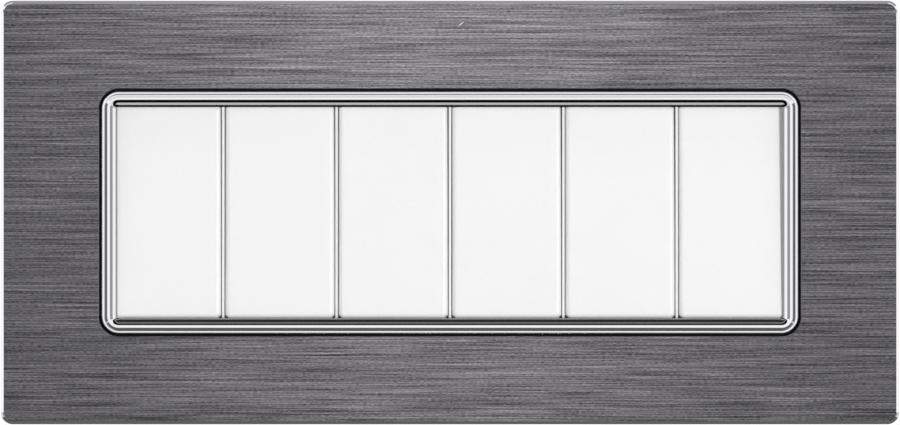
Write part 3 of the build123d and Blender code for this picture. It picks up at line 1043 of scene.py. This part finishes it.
@dataclass(frozen=True)
class Lamp:
    """Rectangular soft lamp aimed at the plate.

    Attributes:
        name: Name of the lamp.
        place: Its position.
        size: Its width and height.
        power: Its power in watts.
        sight: Surfaces that it shows on.
    """

    name: str
    place: Point
    size: Pair
    power: float
    sight: Sight

    def hang(self, spared: bpy.types.Collection) -> None:
        """Adds the lamp to the scene.

        Args:
            spared: Pieces that a lamp for mirrors leaves out.
        """
        lamp = bpy.data.lights.new(self.name, "AREA")
        lamp.shape = "RECTANGLE"
        lamp.size, lamp.size_y = self.size
        lamp.energy = self.power
        made = bpy.data.objects.new(self.name, lamp)
        made.location = self.place
        made.rotation_euler = (-Vector(self.place)).to_track_quat("-Z", "Y").to_euler()
        made.visible_camera = False
        made.visible_glossy = self.sight is not Sight.MATT_ONLY
        made.visible_diffuse = self.sight is not Sight.MIRRORS_ONLY
        if self.sight is Sight.MIRRORS_ONLY:
            made.light_linking.receiver_collection = spared
        bpy.context.scene.collection.objects.link(made)


@dataclass
class Studio:
    """Pale floor, soft lamps, glowing cards that paint reflections into the chrome, white surroundings and
    the camera.

    Attributes:
        ring: Piece that the sheen lamps leave out.
        floor_gap: Distance from the plate's lower edge to the floor.
        floor_size: Side of the floor.
        floor_finish: Finish of the floor.
        ambient: Strength of the surroundings as light.
        lens: Focal length of the camera in millimetres.
        sensor: Width of its sensor in millimetres.
        clip: Nearest and farthest distance that it sees.
        cards: Glowing cards, no lamps, that paint the chrome's dark lines and the bevel's shades as
            reflections.
        lamps: Fill lamps for the matt pieces and the floor, and sheen lamps for the metal.
    """

    ring: bpy.types.Object
    floor_gap: float = 0.12
    floor_size: float = 4.4
    floor_finish: MouldedFinish = MouldedFinish("pale floor", (0.82, 0.82, 0.82), roughness=0.7,
                                                grain=4 * MM, depth=0.0, edge_radius=0.0)
    ambient: float = 0.25
    lens: float = 200.0
    sensor: float = 36.0
    clip: Pair = (0.01, 50.0)
    cards: tuple[Card, ...] = (
        Card("upper_card", 0.004, CARD_ABOVE, (-0.21, -0.108)),
        Card("upper_half", 0.45, CARD_ABOVE, (-0.108, -0.092)),
        Card("upper_dark", 0.03, CARD_ABOVE, (-0.092, -0.05)),
        Card("upper_glow", 0.85, CARD_ABOVE, (-0.05, -0.012)),
        Card("upper_shade", 0.33, CARD_ABOVE, (-0.012, 0.065)),
        Card("lower_card", 0.004, CARD_BELOW, (-0.16, -0.066)),
        Card("lower_glow", 0.52, CARD_BELOW, (-0.066, -0.04)),
        Card("lower_shade", 0.12, CARD_BELOW, (-0.04, 0.065)),
        Card("left_card", 0.33, -CARD_BESIDE, (-0.315, -0.158), UPRIGHT_LENGTH, True),
        Card("left_shade", 0.13, -CARD_BESIDE, (-0.04, -0.012), UPRIGHT_LENGTH, True),
        Card("right_card", 0.33, CARD_BESIDE, (-0.315, -0.158), UPRIGHT_LENGTH, True),
        Card("right_shade", 0.13, CARD_BESIDE, (-0.04, -0.012), UPRIGHT_LENGTH, True),
    )
    lamps: tuple[Lamp, ...] = (
        Lamp("fill_softbox", (0.72, -2.55, 0.02), (0.34, 0.34), 37.8, Sight.MATT_ONLY),
        Lamp("back_softbox", (-0.9, 2.4, 0.7), (1.6, 1.2), 45.0, Sight.MATT_ONLY),
        Lamp("top_softbox", (0.0, 0.3, 2.4), (3.0, 3.0), 32.0, Sight.MATT_ONLY),
        Lamp("sheen_softbox", (0.0, -1.15, 0.52), (0.14, 0.5), 4.4, Sight.MIRRORS_ONLY),
        Lamp("strip_softbox", (0.86, -1.0, 0.0), (0.9, 1.0), 14.0, Sight.MIRRORS_ONLY),
    )

    def build(self) -> None:
        """Sets up the stage."""
        self.add_floor()
        # Glowing cards that only mirrors see: painted reflections in the chrome and the bevel
        for card in self.cards:
            self.add_plane(card.name, card.matrix(), card.material(), Sight.MIRRORS_ONLY)
        spared = bpy.data.collections.new("without sheen")
        spared.objects.link(self.ring)
        spared.collection_objects[0].light_linking.link_state = "EXCLUDE"
        for lamp in self.lamps:
            lamp.hang(spared)
        self.add_surroundings()
        self.add_camera()

    def add_floor(self) -> None:
        """Lays the pale floor."""
        place = Matrix.Translation((0.0, 0.0, CAD_BOX[0].z - self.floor_gap))
        size = Matrix.Diagonal((self.floor_size, self.floor_size, 1.0, 1.0))
        self.add_plane("floor", place @ size, self.floor_finish.material(), Sight.ALL)

    @staticmethod
    def add_plane(name: str, matrix: Matrix, material: bpy.types.Material, sight: Sight) -> None:
        """Adds a plane to the stage.

        Args:
            name: Name of the object.
            matrix: Transform of a square of side 1.
            material: Its material.
            sight: Surfaces that it shows on.
        """
        bm = bmesh.new()
        bmesh.ops.create_grid(bm, x_segments=1, y_segments=1, size=0.5, matrix=matrix)
        mesh = bpy.data.meshes.new(name)
        bm.to_mesh(mesh)
        bm.free()
        mesh.materials.append(material)
        made = bpy.data.objects.new(name, mesh)
        bpy.context.scene.collection.objects.link(made)
        if sight is Sight.MIRRORS_ONLY:
            made.visible_camera = False
            made.visible_diffuse = False
            made.visible_shadow = False
            made.visible_transmission = False

    def add_surroundings(self) -> None:
        """Makes the surroundings white to the eye and in mirrors, and softer as light."""
        world = bpy.data.worlds.new("studio")
        bpy.context.scene.world = world
        world.use_nodes = True
        tree = world.node_tree
        background = tree.nodes["Background"]
        background.inputs["Color"].default_value = (1.0, 1.0, 1.0, 1.0)
        path = tree.nodes.new("ShaderNodeLightPath")
        seen = path.outputs["Is Camera Ray"]
        for name in ("Is Glossy Ray", "Is Transmission Ray"):
            either = tree.nodes.new("ShaderNodeMath")
            either.operation = "MAXIMUM"
            tree.links.new(seen, either.inputs[0])
            tree.links.new(path.outputs[name], either.inputs[1])
            seen = either.outputs["Value"]
        strength = tree.nodes.new("ShaderNodeMapRange")
        strength.inputs["To Min"].default_value = self.ambient
        strength.inputs["To Max"].default_value = 1.0
        tree.links.new(seen, strength.inputs["Value"])
        tree.links.new(strength.outputs["Result"], background.inputs["Strength"])

    def add_camera(self) -> None:
        """Stands the camera straight in front, with the plate across the whole width."""
        lens = bpy.data.cameras.new("camera")
        lens.lens = self.lens
        lens.sensor_width = self.sensor
        lens.clip_start, lens.clip_end = self.clip
        low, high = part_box("cover_sheet")
        margin = IMAGE_WIDTH / (IMAGE_WIDTH - 1)
        distance = (high.x - low.x) * margin * self.lens / self.sensor
        camera = bpy.data.objects.new("camera", lens)
        camera.location = (0.0, low.y - distance, (low.z + high.z) / 2)
        camera.rotation_euler = (QUARTER_TURN, 0.0, 0.0)
        bpy.context.scene.collection.objects.link(camera)
        bpy.context.scene.camera = camera


def shared_finishes() -> ModuleFinishes:
    """Finishes of the six modules.

    Returns:
        The materials by piece.
    """
    return ModuleFinishes(
        key=MouldedFinish("white satin", (0.88, 0.88, 0.88), roughness=0.3, mottle=0.006).material(),
        housing=MouldedFinish("white moulding", (0.88, 0.88, 0.88), roughness=0.35, mottle=0.01).material(),
        base=MouldedFinish("light grey moulding", (0.5, 0.5, 0.51), roughness=0.5, mottle=0.03).material(),
        plunger=MouldedFinish("natural plastic", (0.75, 0.74, 0.7), roughness=0.35, mottle=0.03).material(),
        brass=RolledFinish("rolled brass", (0.62, 0.43, 0.17), (0.82, 0.61, 0.3)).material(),
        wire=RolledFinish("spring wire", (0.42, 0.42, 0.43), (0.62, 0.62, 0.62)).material(),
    )


def main() -> None:
    """Builds the sub-assemblies and the stage."""
    logging.basicConfig(level=logging.INFO, format="%(name)s: %(message)s")
    bpy.context.scene.view_settings.view_transform = "Standard"
    CoverSheet().build()
    ring = BezelRing().build()
    WallParts().build()
    finishes = shared_finishes()
    for number in range(1, MODULE_COUNT + 1):
        SwitchModule(number, finishes).build()
    Studio(ring).build()


if __name__ == "__main__":
    main()
